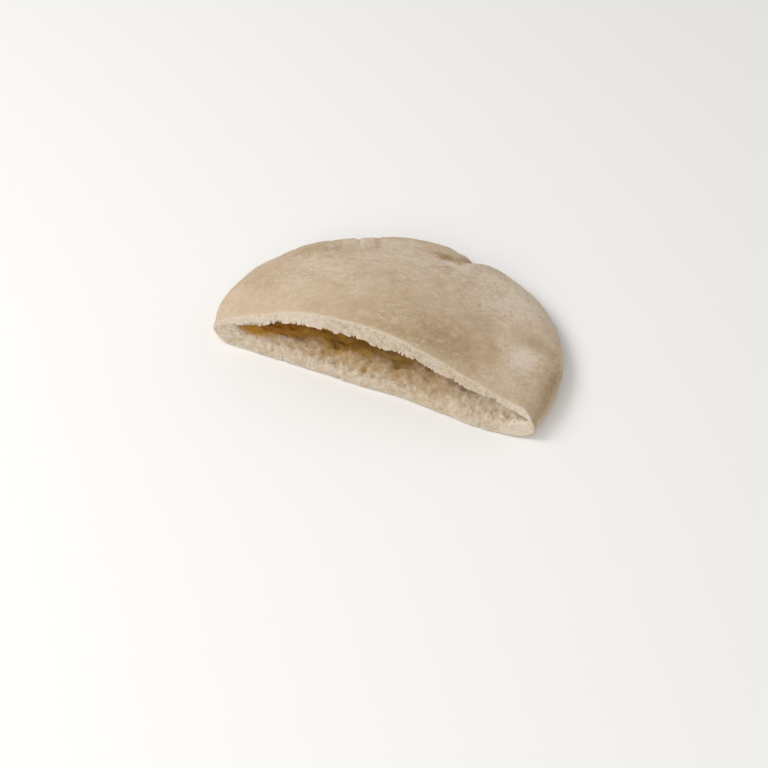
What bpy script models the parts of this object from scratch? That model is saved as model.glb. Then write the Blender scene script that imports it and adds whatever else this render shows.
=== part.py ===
"""Half a pita bread: a puffed round cut straight across, so that its pocket stands open.

Metres, +Z up. X runs along the cut, the cut faces -Y and the flat underside lies on z = 0.
The origin is the middle of the base of the half's bounding box.

The shape functions work on the whole round, before the cut, about the round's own centre.
There, bearing is the angle round the centre from +X, and reach is the distance from the centre
as a share of the distance to the rim at that bearing.
"""

import math

import bmesh
import bpy
from mathutils import Matrix

# The round, seen from above
ROUND_RADIUS = 0.0818
# How many times round each wave of the outline goes, and its size as a share of the radius
RIM_WAVES = ((1, 0.010), (2, -0.0055), (3, -0.0107), (4, -0.0056))
# The bearing of each swell of the outline and its width, in degrees, and its size
RIM_SWELLS = (
    (171.0, 7.0, 0.0009),
    (152.0, 17.0, 0.0031),
    (133.0, 8.0, 0.0008),
    (105.0, 11.0, 0.0010),
    (48.0, 9.0, 0.0007),
    (26.0, 17.0, 0.0024),
)
# The notch where two lobes of the rim meet, which fades out on the way in to this reach
RIM_NOTCH = (76.3, 4.0, -0.0044)
NOTCH_START = 0.72

# The round, seen from the side
RIM_HEIGHT = 0.0081
SHOULDER_RISE = 0.0043
DOME_RISE = 0.0230
DOME_TIP_ROUNDING = 0.15
DOME_FULLNESS = 1.45
DOME_SKEW = 0.46
SHOULDER_START = 0.88
UNDERSIDE_FLAT = 0.86

# Folds of the crust, each with its two ends, its width and how far it stands up or, below 0, sinks
NOTCH_CREASE = ((0.0182, 0.0780), (0.0140, 0.0630), 0.0048, -0.0012)
NOTCH_LOBE = ((0.0290, 0.0710), (0.0240, 0.0610), 0.0075, 0.0007)
NOTCH_DENT = ((0.0080, 0.0690), (0.0070, 0.0650), 0.0070, -0.0007)
SIDE_RIDGE = ((0.0520, 0.0240), (0.0790, 0.0260), 0.0050, 0.0010)
SIDE_VALLEY = ((0.0640, 0.0320), (0.0790, 0.0340), 0.0045, -0.0009)
LEFT_SHOULDER = ((-0.0780, -0.0100), (-0.0560, -0.0100), 0.0130, -0.0023)
FOLDS = (NOTCH_CREASE, NOTCH_LOBE, NOTCH_DENT, SIDE_RIDGE, SIDE_VALLEY, LEFT_SHOULDER)

# The pocket between the two walls
POCKET_REACH = 0.843
POCKET_REACH_SKEW = 0.012
POCKET_RIGHT_REACH = 0.088
POCKET_RIGHT_WIDTH = math.radians(26.0)
POCKET_TIP_HEIGHT_LEFT = 0.0148
POCKET_TIP_HEIGHT_RIGHT = 0.0114
POCKET_TIP_HEIGHT_BACK = 0.0105
POCKET_ROOF_SQUARENESS = 10
POCKET_FLOOR_SQUARENESS = 6
LOWER_WALL = 0.0082
UPPER_WALL_LEFT = 0.0080
UPPER_WALL_RIGHT = 0.0039
WALL_TAPER_START = -0.005
WALL_TAPER_LENGTH = 0.070

# The knife cut, which leans back as it rises. Lower down it bows out, most of all on the right:
# the place of each bow along the cut, its width and its size
CUT_SETBACK = 0.0080
CUT_LEAN = math.radians(7.0)
CUT_BOWS = ((-0.0060, 0.0090, 0.0004), (0.0540, 0.0240, 0.0031))
CUT_BOW_HEIGHT = 0.022

# The two ends beside the cut: how far each is drawn in, and how the right one is raised and rolled down
END_DEPTH = 0.0120
LEFT_END_IN = 0.0020
RIGHT_END_IN = 0.0024
RIGHT_END_UP = 0.0011
RIGHT_END_DOWN = 0.0019

# Mesh fineness
BREAD_SEGMENTS = 64
BREAD_RINGS = 76
POCKET_SEGMENTS = 44
POCKET_RINGS = 44
KNIFE_COLUMNS = 24
KNIFE_MARGIN = 0.020

CRUST_COLOUR = (0.56, 0.44, 0.31, 1.0)
CRUST_ROUGHNESS = 0.75


def clear_scene():
    for thing in list(bpy.data.objects):
        bpy.data.objects.remove(thing, do_unlink=True)


def new_collection(name):
    collection = bpy.data.collections.new(name)
    bpy.context.scene.collection.children.link(collection)
    return collection


def swell(distance, width):
    return math.exp(-((distance / width) ** 2))


def smooth_step(share):
    share = min(max(share, 0.0), 1.0)
    return share * share * (3.0 - 2.0 * share)


def degrees_between(bearing, degrees):
    """Difference from a bearing in radians to one in degrees, in degrees from -180 to 180."""
    return (math.degrees(bearing) - degrees + 180.0) % 360.0 - 180.0


def rim_radius(bearing, reach=1.0):
    """Distance from the round's centre to its rim, without the notch for what lies further in."""
    waves = sum(size * math.cos(count * bearing) for count, size in RIM_WAVES)
    swells = sum(size * swell(degrees_between(bearing, place), width) for place, width, size in RIM_SWELLS)
    place, width, size = RIM_NOTCH
    notch = size * swell(degrees_between(bearing, place), width)
    notch *= smooth_step((reach - NOTCH_START) / (1.0 - NOTCH_START))
    return ROUND_RADIUS * (1.0 + waves) + swells + notch


def quarter_round(reach, start):
    """1 inside start, and down along a quarter of an ellipse to 0 at the rim."""
    share = min(max((reach - start) / (1.0 - start), 0.0), 1.0)
    return math.sqrt(1.0 - share * share)


def dome(bearing, reach):
    """How far the puffed crust stands above its shoulder: steeper on the right than on the left."""
    tip = DOME_TIP_ROUNDING
    slope = (math.hypot(reach, tip) - tip) / (math.hypot(1.0, tip) - tip)
    fullness = DOME_FULLNESS - DOME_SKEW * math.cos(bearing)
    return DOME_RISE * (1.0 - min(slope, 1.0) ** fullness)


def fold_height(x, y, start, end, width, height):
    """How far one fold lifts the crust at a point seen from above."""
    along_x = end[0] - start[0]
    along_y = end[1] - start[1]
    share = ((x - start[0]) * along_x + (y - start[1]) * along_y) / (along_x**2 + along_y**2)
    share = min(max(share, 0.0), 1.0)
    away = math.hypot(x - start[0] - share * along_x, y - start[1] - share * along_y)
    return height * swell(away, width)


def crust_height(bearing, reach):
    """Height of the top crust, with its folds."""
    distance = reach * rim_radius(bearing, reach)
    x, y = distance * math.cos(bearing), distance * math.sin(bearing)
    standing = SHOULDER_RISE + dome(bearing, reach) + sum(fold_height(x, y, *fold) for fold in FOLDS)
    return RIM_HEIGHT + standing * quarter_round(reach, SHOULDER_START)


def underside_height(reach):
    """Height of the underside, flat out to where it turns up into the rim."""
    return RIM_HEIGHT * (1.0 - quarter_round(reach, UNDERSIDE_FLAT))


def upper_wall(x):
    """Thickness of the upper wall, which thins towards the right."""
    taper = smooth_step((x - WALL_TAPER_START) / WALL_TAPER_LENGTH)
    return UPPER_WALL_LEFT + (UPPER_WALL_RIGHT - UPPER_WALL_LEFT) * taper


def pocket_tip_height(bearing):
    """Height at which the pocket's roof and floor meet."""
    across = math.cos(bearing)
    side_height = POCKET_TIP_HEIGHT_RIGHT if across > 0.0 else POCKET_TIP_HEIGHT_LEFT
    return POCKET_TIP_HEIGHT_BACK + (side_height - POCKET_TIP_HEIGHT_BACK) * across**2


def pocket_reach(bearing):
    """Reach of the pocket's tip, which comes nearer the rim on the right."""
    right_reach = POCKET_RIGHT_REACH * swell(bearing, POCKET_RIGHT_WIDTH)
    return POCKET_REACH + POCKET_REACH_SKEW * math.cos(bearing) + right_reach


def pocket_floor(bearing, share):
    """Height of the pocket's floor at a share of the way from the centre to its tip."""
    tip = pocket_tip_height(bearing)
    return tip - (tip - LOWER_WALL) * math.sqrt(1.0 - share**POCKET_FLOOR_SQUARENESS)


def pocket_roof(bearing, share):
    """Height of the pocket's roof at a share of the way from the centre to its tip."""
    tip = pocket_tip_height(bearing)
    reach = share * pocket_reach(bearing)
    x = reach * rim_radius(bearing, reach) * math.cos(bearing)
    crust = RIM_HEIGHT + SHOULDER_RISE + dome(bearing, reach)
    room = max(crust - upper_wall(x) - tip, 0.0)
    return tip + room * math.sqrt(1.0 - share**POCKET_ROOF_SQUARENESS)


def shape_ends(x, y, z):
    """The place of a point once the two ends of the half are drawn to shape."""
    beside_cut = swell(y + CUT_SETBACK, END_DEPTH)
    left_in = LEFT_END_IN * smooth_step((-x - 0.073) / 0.009)
    right_in = RIGHT_END_IN * smooth_step((x - 0.071) / 0.010)
    raised = RIGHT_END_UP * swell(x - 0.0715, 0.008) * smooth_step((z - 0.009) / 0.004)
    lowered = RIGHT_END_DOWN * smooth_step((x - 0.068) / 0.012) * swell(z - RIM_HEIGHT, 0.004)
    lowered = lowered * smooth_step(z / 0.004)
    return x + (left_in - right_in) * beside_cut, y, z + (raised - lowered) * beside_cut


def bread_point(point):
    """The place on the round's skin of a point of a unit sphere."""
    bearing = math.atan2(point.y, point.x)
    reach = min(math.hypot(point.x, point.y), 1.0)
    distance = reach * rim_radius(bearing, reach)
    height = crust_height(bearing, reach) if point.z > 0.0 else underside_height(reach)
    return shape_ends(distance * math.cos(bearing), distance * math.sin(bearing), height)


def pocket_point(point):
    """The place on the pocket's wall of a point of a unit sphere."""
    bearing = math.atan2(point.y, point.x)
    share = min(math.hypot(point.x, point.y), 1.0)
    reach = share * pocket_reach(bearing)
    distance = reach * rim_radius(bearing, reach)
    height = pocket_roof(bearing, share) if point.z > 0.0 else pocket_floor(bearing, share)
    return shape_ends(distance * math.cos(bearing), distance * math.sin(bearing), height)


def cut_place(x, z):
    """The y of the knife cut at a place along it and a height."""
    bow = sum(size * swell(x - place, width) for place, width, size in CUT_BOWS)
    return z * math.tan(CUT_LEAN) - CUT_SETBACK - bow * max(1.0 - z / CUT_BOW_HEIGHT, 0.0)


def shaped_sphere(name, segments, rings, place, collection):
    """An object made from a sphere with its poles at the front and back, each point moved by place."""
    mesh_edit = bmesh.new()
    poles_to_y = Matrix.Rotation(math.radians(-90.0), 4, "X")
    bmesh.ops.create_uvsphere(
        mesh_edit, u_segments=segments, v_segments=rings, radius=1.0, matrix=poles_to_y
    )
    for vertex in mesh_edit.verts:
        vertex.co = place(vertex.co)
    return object_from(mesh_edit, name, collection)


def knife_block(name, collection):
    """The block that the cut takes away: a box whose back face follows the knife."""
    half_width = ROUND_RADIUS + KNIFE_MARGIN
    top = RIM_HEIGHT + SHOULDER_RISE + DOME_RISE + KNIFE_MARGIN
    mesh_edit = bmesh.new()
    bmesh.ops.create_cube(mesh_edit, size=1.0)
    bmesh.ops.subdivide_edges(
        mesh_edit, edges=mesh_edit.edges[:], cuts=KNIFE_COLUMNS - 1, use_grid_fill=True
    )
    for vertex in mesh_edit.verts:
        x = 2.0 * half_width * vertex.co.x
        z = -KNIFE_MARGIN + (top + KNIFE_MARGIN) * (vertex.co.z + 0.5)
        far = cut_place(x, z)
        near = -half_width
        vertex.co = (x, near + (far - near) * (vertex.co.y + 0.5), z)
    return object_from(mesh_edit, name, collection)


def object_from(mesh_edit, name, collection):
    bmesh.ops.recalc_face_normals(mesh_edit, faces=mesh_edit.faces[:])
    mesh = bpy.data.meshes.new(name)
    mesh_edit.to_mesh(mesh)
    mesh_edit.free()
    made = bpy.data.objects.new(name, mesh)
    collection.objects.link(made)
    return made


def crust_material():
    material = bpy.data.materials.new("bread")
    material.use_nodes = True
    shader = material.node_tree.nodes["Principled BSDF"]
    shader.inputs["Base Color"].default_value = CRUST_COLOUR
    shader.inputs["Roughness"].default_value = CRUST_ROUGHNESS
    shader.inputs["Metallic"].default_value = 0.0
    return material


def cut_away(bread, cutter):
    """Takes the cutter from the bread, and ties it to the bread so that both move together."""
    cutter.hide_render = True
    cutter.display_type = "WIRE"
    cutter.parent = bread
    boolean = bread.modifiers.new(cutter.name, "BOOLEAN")
    boolean.operation = "DIFFERENCE"
    boolean.solver = "EXACT"
    boolean.object = cutter


def stand_on_origin(thing):
    """Moves the thing so that the middle of its bounding box's base is the origin."""
    bpy.context.view_layer.update()
    finished = thing.evaluated_get(bpy.context.evaluated_depsgraph_get())
    lows = [min(corner[axis] for corner in finished.bound_box) for axis in range(3)]
    highs = [max(corner[axis] for corner in finished.bound_box) for axis in range(3)]
    thing.location = (-(lows[0] + highs[0]) / 2, -(lows[1] + highs[1]) / 2, -lows[2])


def main():
    clear_scene()
    parts = new_collection("pita bread")
    cutters = new_collection("cutters")
    bread = shaped_sphere("half_pita", BREAD_SEGMENTS, BREAD_RINGS, bread_point, parts)
    pocket = shaped_sphere("pocket_cutter", POCKET_SEGMENTS, POCKET_RINGS, pocket_point, cutters)
    knife = knife_block("knife_cutter", cutters)
    cut_away(bread, pocket)
    cut_away(bread, knife)
    bread.data.materials.append(crust_material())
    bread.data.shade_smooth()
    bread.data.set_sharp_from_angle(angle=math.radians(40.0))
    stand_on_origin(bread)


main()
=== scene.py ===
"""The looks of half a pita bread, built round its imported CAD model.

The bread is one closed mesh that stands for the CAD node. It is lofted from rings: from the back rim
over the crust to the cut, across the cut face, and down into the pocket.

The modelling functions work in millimetres about the centre of the round that the half was cut from.
Bearing is the angle round that centre from +X, and reach is the distance from it as a share of the
distance to the rim at that bearing.
"""

import math

import bpy
import numpy as np
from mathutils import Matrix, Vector, noise


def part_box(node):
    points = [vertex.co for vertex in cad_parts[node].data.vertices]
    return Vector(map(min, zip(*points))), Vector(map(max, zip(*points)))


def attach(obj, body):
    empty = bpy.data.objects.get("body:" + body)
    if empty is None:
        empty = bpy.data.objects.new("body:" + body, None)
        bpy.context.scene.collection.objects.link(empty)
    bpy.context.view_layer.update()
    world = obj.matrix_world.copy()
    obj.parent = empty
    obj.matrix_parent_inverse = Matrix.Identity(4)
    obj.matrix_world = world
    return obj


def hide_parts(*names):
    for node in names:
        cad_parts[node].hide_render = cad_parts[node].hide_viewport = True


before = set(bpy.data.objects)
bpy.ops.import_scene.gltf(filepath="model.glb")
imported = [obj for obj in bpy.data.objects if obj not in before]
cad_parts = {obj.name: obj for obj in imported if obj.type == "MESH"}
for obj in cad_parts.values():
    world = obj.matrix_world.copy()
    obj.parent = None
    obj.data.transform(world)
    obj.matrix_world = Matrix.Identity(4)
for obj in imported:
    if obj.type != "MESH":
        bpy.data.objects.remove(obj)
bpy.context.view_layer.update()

NODE = "half_pita"
MM = 0.001

# ---------------------------------------------------------------- the round, as in the CAD model
ROUND_RADIUS = 81.8
# How many times round each wave of the outline goes, and its size as a share of the radius
RIM_WAVES = ((1, 0.010), (2, -0.0055), (3, -0.0107), (4, -0.0056))
# Swells of the outline: bearing and width in degrees, and size
RIM_SWELLS = (
    (171.0, 7.0, 0.9), (152.0, 17.0, 3.1), (133.0, 8.0, 0.8),
    (105.0, 11.0, 1.0), (48.0, 9.0, 0.7), (26.0, 17.0, 2.4),
)
# The notch where two lobes of the rim meet, which fades out on the way in to this reach
RIM_NOTCH = (76.3, 4.0, -4.4)
NOTCH_START = 0.72

# The round, seen from the side
RIM_HEIGHT = 8.1
SHOULDER_RISE = 4.3
DOME_RISE = 23.0
DOME_TIP_ROUNDING = 0.15
DOME_FULLNESS = 1.45
DOME_SKEW = 0.46
SHOULDER_START = 0.88
UNDERSIDE_FLAT = 0.86

# The pocket between the two walls
POCKET_REACH = 0.843
POCKET_REACH_SKEW = 0.012
POCKET_RIGHT_REACH = 0.088
POCKET_RIGHT_WIDTH = math.radians(26.0)
POCKET_TIP_LEFT = 14.8
POCKET_TIP_RIGHT = 11.4
POCKET_TIP_BACK = 10.5
POCKET_ROOF_SQUARENESS = 10
POCKET_FLOOR_SQUARENESS = 6
LOWER_WALL = 8.2
UPPER_WALL_LEFT = 8.0
UPPER_WALL_RIGHT = 3.9
WALL_TAPER_START = -5.0
WALL_TAPER_LENGTH = 70.0

# The knife cut, which leans back as it rises. Lower down it bows out, most of all on the right: the
# place of each bow along the cut, its width and its size
CUT_SETBACK = 8.0
CUT_LEAN = math.radians(7.0)
CUT_BOWS = ((-6.0, 9.0, 0.4), (54.0, 24.0, 3.1))
CUT_BOW_HEIGHT = 22.0

# The two ends beside the cut: how far each is drawn in, and how the right one is raised and rolled down
END_DEPTH = 12.0
LEFT_END_IN = 2.0
RIGHT_END_IN = 2.4
RIGHT_END_UP = 1.1
RIGHT_END_DOWN = 1.9
# Where along the cut and at what height each of these sets in, and over what length
LEFT_END_START, LEFT_END_LENGTH = 73.0, 9.0
RIGHT_END_START, RIGHT_END_LENGTH = 71.0, 10.0
RAISED_PLACE, RAISED_WIDTH = 71.5, 8.0
RAISED_ABOVE, RAISED_FADE = 9.0, 4.0
LOWERED_START, LOWERED_LENGTH = 68.0, 12.0
LOWERED_FADE = 4.0

# ---------------------------------------------------------------- finer than in the CAD model
# Small corrections of the outline, in the same way as its swells
RIM_TRIMS = (
    (178.0, 4.0, 0.6), (148.5, 5.5, -1.1), (112.0, 7.0, -0.7),
    (83.0, 3.0, -1.5), (69.0, 3.0, -1.1), (61.0, 6.0, -0.8),
)
# Folds of the crust: two ends, width, and how far it stands up or, below 0, sinks. The last three are
# the CAD model's own, and those beside the notch are sharper than there
FOLDS = (
    ((18.4, 79.5), (17.2, 71.5), 1.5, -1.4),
    ((17.2, 72.0), (14.6, 61.5), 1.2, -0.35),
    ((29.0, 72.0), (23.0, 66.0), 6.0, 0.6),
    ((9.0, 70.0), (9.0, 66.0), 6.0, -0.7),
    ((-43.2, 60.0), (-38.5, 47.0), 1.4, -0.5),
    ((-35.0, 66.0), (-30.5, 54.0), 1.9, 0.5),
    ((-26.5, 69.5), (-23.0, 57.0), 1.5, -0.5),
    ((52.0, 24.0), (79.0, 26.0), 5.0, 1.0),
    ((64.0, 32.0), (79.0, 34.0), 4.5, -0.9),
    ((-78.0, -10.0), (-56.0, -10.0), 13.0, -2.3),
)

# ---------------------------------------------------------------- fineness of the mesh
# Points measured round each ring, and rings measured from the back pole to the cut
SAMPLES = 1440
STEPS = 360
CUT_SEARCH_ROUNDS = 40
FEWEST_IN_RING = 8
# Edge length at the cut, the longest one, and how much it grows with the distance from the cut
SKIN_FINE, SKIN_COARSE, SKIN_GROWTH = 0.38, 0.80, 0.10
POCKET_FINE, POCKET_COARSE, POCKET_GROWTH = 0.40, 1.8, 0.028
# How many times longer the underside's edges are, from this distance from the cut on
UNDERSIDE_COARSENESS = 2.0
UNDERSIDE_BLEND = 10.0
# Rings across the cut face, with one edge length on its lower and one on its upper part, and how far
# into the pocket the finer one lasts
FACE_RINGS = 27
FACE_EDGE, LIP_EDGE = 0.40, 0.24
LIP_EDGE_DEPTH = 4.0
# The regions of the surface
SKIN, FACE, POCKET = 0, 1, 2
# Keeps a normal's length from being 0
TINY = 1e-12


def swell(distance, width):
    """1 at no distance, and smoothly down to nothing over about twice the width."""
    return np.exp(-((distance / width) ** 2))


def smooth_step(share):
    """0 up to 0, 1 from 1 on, and a smooth slope between them."""
    share = np.clip(share, 0.0, 1.0)
    return share * share * (3.0 - 2.0 * share)


def rim_radius(bearing, reach=1.0):
    """Distance from the round's centre to its rim, without the notch for what lies further in."""
    degrees = np.degrees(bearing)
    radius = ROUND_RADIUS * (1.0 + sum(size * np.cos(count * bearing) for count, size in RIM_WAVES))
    for place, width, size in RIM_SWELLS + RIM_TRIMS:
        radius = radius + size * swell((degrees - place + 180.0) % 360.0 - 180.0, width)
    place, width, size = RIM_NOTCH
    near_rim = smooth_step((reach - NOTCH_START) / (1.0 - NOTCH_START))
    return radius + size * swell(degrees - place, width) * near_rim


def quarter_round(reach, start):
    """1 inside start, and down along a quarter of an ellipse to 0 at the rim."""
    share = np.clip((reach - start) / (1.0 - start), 0.0, 1.0)
    return np.sqrt(1.0 - share**2)


def dome(bearing, reach):
    """How far the puffed crust stands above its shoulder: steeper on the right than on the left."""
    tip = DOME_TIP_ROUNDING
    slope = (np.hypot(reach, tip) - tip) / (np.hypot(1.0, tip) - tip)
    fullness = DOME_FULLNESS - DOME_SKEW * np.cos(bearing)
    return DOME_RISE * (1.0 - np.minimum(slope, 1.0) ** fullness)


def distance_to_line(x, y, start, end):
    """Distance, seen from above, to the line between two points."""
    along_x, along_y = end[0] - start[0], end[1] - start[1]
    share = ((x - start[0]) * along_x + (y - start[1]) * along_y) / (along_x**2 + along_y**2)
    share = np.clip(share, 0.0, 1.0)
    return np.hypot(x - start[0] - share * along_x, y - start[1] - share * along_y)


def crust_height(bearing, reach):
    """Height of the top crust, with its folds."""
    distance = reach * rim_radius(bearing, reach)
    x, y = distance * np.cos(bearing), distance * np.sin(bearing)
    standing = SHOULDER_RISE + dome(bearing, reach)
    for start, end, width, height in FOLDS:
        standing = standing + height * swell(distance_to_line(x, y, start, end), width)
    return RIM_HEIGHT + standing * quarter_round(reach, SHOULDER_START)


def upper_wall(x):
    """Thickness of the upper wall, which thins towards the right."""
    taper = smooth_step((x - WALL_TAPER_START) / WALL_TAPER_LENGTH)
    return UPPER_WALL_LEFT + (UPPER_WALL_RIGHT - UPPER_WALL_LEFT) * taper


def cut_place(x, z):
    """The y of the knife cut."""
    bow = sum(size * swell(x - place, width) for place, width, size in CUT_BOWS)
    return z * math.tan(CUT_LEAN) - CUT_SETBACK - bow * np.maximum(1.0 - z / CUT_BOW_HEIGHT, 0.0)


def shape_ends(x, y, z):
    """The points with the two ends of the half drawn to shape."""
    beside_cut = swell(y + CUT_SETBACK, END_DEPTH)
    left_in = LEFT_END_IN * smooth_step((-x - LEFT_END_START) / LEFT_END_LENGTH)
    right_in = RIGHT_END_IN * smooth_step((x - RIGHT_END_START) / RIGHT_END_LENGTH)
    raised = RIGHT_END_UP * swell(x - RAISED_PLACE, RAISED_WIDTH)
    raised = raised * smooth_step((z - RAISED_ABOVE) / RAISED_FADE)
    lowered = RIGHT_END_DOWN * smooth_step((x - LOWERED_START) / LOWERED_LENGTH)
    lowered = lowered * swell(z - RIM_HEIGHT, LOWERED_FADE) * smooth_step(z / LOWERED_FADE)
    return np.stack([x + (left_in - right_in) * beside_cut, y, z + (raised - lowered) * beside_cut], -1)


def unit_sphere(theta, alpha):
    """Bearing, reach and side of points of a unit sphere whose back pole is at alpha 0. Theta runs round
    that pole from the right end over the top."""
    across, depth, up = np.sin(alpha) * np.cos(theta), np.cos(alpha), np.sin(alpha) * np.sin(theta)
    return np.arctan2(depth, across), np.minimum(np.hypot(across, depth), 1.0), up > 0.0


def skin_place(theta, alpha):
    """A point of the round's outer skin."""
    bearing, reach, above = unit_sphere(theta, alpha)
    distance = reach * rim_radius(bearing, reach)
    below = RIM_HEIGHT * (1.0 - quarter_round(reach, UNDERSIDE_FLAT))
    height = np.where(above, crust_height(bearing, reach), below)
    return shape_ends(distance * np.cos(bearing), distance * np.sin(bearing), height)


def pocket_place(theta, alpha):
    """A point of the pocket's wall."""
    bearing, share, above = unit_sphere(theta, alpha)
    right_reach = POCKET_RIGHT_REACH * swell(bearing, POCKET_RIGHT_WIDTH)
    reach = share * (POCKET_REACH + POCKET_REACH_SKEW * np.cos(bearing) + right_reach)
    distance = reach * rim_radius(bearing, reach)
    x = distance * np.cos(bearing)
    side = np.where(np.cos(bearing) > 0.0, POCKET_TIP_RIGHT, POCKET_TIP_LEFT)
    tip = POCKET_TIP_BACK + (side - POCKET_TIP_BACK) * np.cos(bearing) ** 2
    room = np.maximum(RIM_HEIGHT + SHOULDER_RISE + dome(bearing, reach) - upper_wall(x) - tip, 0.0)
    roof = tip + room * np.sqrt(1.0 - share**POCKET_ROOF_SQUARENESS)
    floor = tip - (tip - LOWER_WALL) * np.sqrt(1.0 - share**POCKET_FLOOR_SQUARENESS)
    return shape_ends(x, distance * np.sin(bearing), np.where(above, roof, floor))


# ---------------------------------------------------------------- rings
def grid_to_cut(place):
    """Points of a skin from its back pole to the cut, as an array of STEPS by SAMPLES points."""
    theta = np.arange(SAMPLES) * 2.0 * math.pi / SAMPLES
    near, far = np.zeros(SAMPLES), np.full(SAMPLES, math.pi)
    for _ in range(CUT_SEARCH_ROUNDS):
        middle = (near + far) / 2.0
        point = place(theta, middle)
        behind = point[:, 1] > cut_place(point[:, 0], point[:, 2])
        near, far = np.where(behind, middle, near), np.where(behind, far, middle)
    share = np.linspace(0.0, 1.0, STEPS)[:, None]
    return place(theta[None, :], share * near[None, :])


def ring_distances(depth, fine, coarse, growth):
    """Distances of the rings from the cut, close together there and further apart towards the back."""
    found = [0.0]
    while found[-1] < depth:
        found.append(found[-1] + min(fine + growth * found[-1], coarse))
    return np.array(found) * depth / found[-1]


def rings_of(grid, fine, coarse, growth):
    """The rings of a skin, from the cut to the back: points, distance from the cut and edge length."""
    lengths = np.linalg.norm(np.diff(grid[::-1], axis=0), axis=2).mean(1)
    from_cut = np.concatenate([[0.0], np.cumsum(lengths)])
    rings = []
    for distance in ring_distances(from_cut[-1], fine, coarse, growth)[:-1]:
        place = np.interp(distance, from_cut, np.arange(STEPS))
        whole = min(int(place), STEPS - 2)
        part = place - whole
        points = grid[::-1][whole] * (1.0 - part) + grid[::-1][whole + 1] * part
        rings.append((points, distance, min(fine + growth * distance, coarse)))
    return rings


def thinned(points, edges):
    """Places along a closed ring, from 0 to 1, that stand about the given edge lengths apart."""
    lengths = np.linalg.norm(np.roll(points, -1, 0) - points, axis=1) / edges
    along = np.concatenate([[0.0], np.cumsum(lengths)])
    count = max(int(round(along[-1])), FEWEST_IN_RING)
    return np.interp(np.arange(count) * along[-1] / count, along, np.arange(SAMPLES + 1)) / SAMPLES


def sample_ring(values, at):
    """Values round a closed ring, read at places from 0 to 1 along it."""
    return np.interp(at * SAMPLES, np.arange(SAMPLES + 1), np.append(values, values[0]))


def zip_rings(first, first_at, second, second_at):
    """Triangles between two rings of unlike counts. first and second are their first vertices, and the
    _at arrays say where along its ring each vertex lies."""
    n, m = len(first_at), len(second_at)
    first_at = np.append(first_at, 1.0)
    second_at = np.append(second_at, 1.0)
    faces, i, j = [], 0, 0
    while i < n or j < m:
        a, b = first + i % n, second + j % m
        if j == m or (i < n and first_at[i + 1] + first_at[i] <= second_at[j + 1] + second_at[j]):
            faces.append((a, first + (i + 1) % n, b))
            i += 1
        else:
            faces.append((a, second + (j + 1) % m, b))
            j += 1
    return faces


def loft():
    """The bare bread as points and triangles, and for each point: its region, its distance from the cut
    on the skin and in the pocket or from the crust on the cut face, the face's width there, and whether
    it lies on the upper side."""
    skin = rings_of(grid_to_cut(skin_place), SKIN_FINE, SKIN_COARSE, SKIN_GROWTH)
    pocket = rings_of(grid_to_cut(pocket_place), POCKET_FINE, POCKET_COARSE, POCKET_GROWTH)
    outer, inner = skin[0][0], pocket[0][0]
    width = np.linalg.norm(outer - inner, axis=1)
    underneath = np.arange(SAMPLES) >= SAMPLES // 2
    stack = []
    for points, distance, edge in reversed(skin):
        coarser = 1.0 + (UNDERSIDE_COARSENESS - 1.0) * min(distance / UNDERSIDE_BLEND, 1.0)
        edges = edge * np.where(underneath, coarser, 1.0)
        stack.append((SKIN, np.full(SAMPLES, distance), points, edges))
    for ring in range(1, FACE_RINGS):
        share = ring / FACE_RINGS
        points = outer * (1.0 - share) + inner * share
        points[:, 1] = cut_place(points[:, 0], points[:, 2])
        stack.append((FACE, share * width, points, np.where(underneath, FACE_EDGE, LIP_EDGE)))
    for points, distance, edge in pocket:
        finer = edge - (FACE_EDGE - LIP_EDGE) * swell(distance, LIP_EDGE_DEPTH)
        edges = np.where(underneath, edge, finer)
        stack.append((POCKET, np.full(SAMPLES, distance), points, edges))

    places, facts, faces, starts = [], [], [], [0]
    previous_at = None
    for region, distance, points, edges in stack:
        at = thinned(points, edges)
        kept = np.stack([sample_ring(column, at) for column in (*points.T, distance, width)], -1)
        places.append(kept[:, :3])
        facts.append(np.column_stack([np.full(len(at), region), kept[:, 3:], at < 0.5]))
        if previous_at is not None:
            faces += zip_rings(starts[-2], previous_at, starts[-1], at)
        starts.append(starts[-1] + len(at))
        previous_at = at
    for ring, region, turn in ((0, SKIN, -1), (len(stack) - 1, POCKET, 1)):
        pole = starts[-1] + (0 if ring == 0 else 1)
        around = np.arange(starts[ring], starts[ring + 1])[::turn]
        faces += [(pole, a, b) for a, b in zip(around, np.roll(around, -1))]
        places.append(places[ring].mean(0, keepdims=True))
        facts.append(facts[ring].mean(0, keepdims=True))
    return np.concatenate(places), np.array(faces), np.concatenate(facts)


def vertex_normals(points, faces):
    """The surface's direction at each point, as the mean over its triangles by their size."""
    a, b, c = (points[faces[:, k]] for k in range(3))
    flat = np.cross(b - a, c - a)
    normals = np.zeros_like(points)
    for k in range(3):
        np.add.at(normals, faces[:, k], flat)
    return normals / np.maximum(np.linalg.norm(normals, axis=1, keepdims=True), TINY)


def relax(points, faces, strength, rounds):
    """Moves each point towards the mean of its neighbours, by its own strength."""
    ends = np.concatenate([faces[:, [0, 1]], faces[:, [1, 2]], faces[:, [2, 0]]])
    here, there = ends[:, 0], ends[:, 1]
    counts = np.bincount(here, minlength=len(points))[:, None]
    for _ in range(rounds):
        total = np.stack([np.bincount(here, points[there, k], len(points)) for k in range(3)], -1)
        points = points + strength[:, None] * (total / counts - points)
    return points


# ---------------------------------------------------------------- relief
# Small pleats of the back rim: bearing in degrees, the reach where each starts, and its depth
PLEATS = (
    (128.5, 0.74, 0.5), (119.0, 0.72, 0.9), (112.0, 0.76, 0.6),
    (98.0, 0.84, 0.4), (141.0, 0.86, 0.3),
)
PLEAT_WIDTH = 1.3
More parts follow.
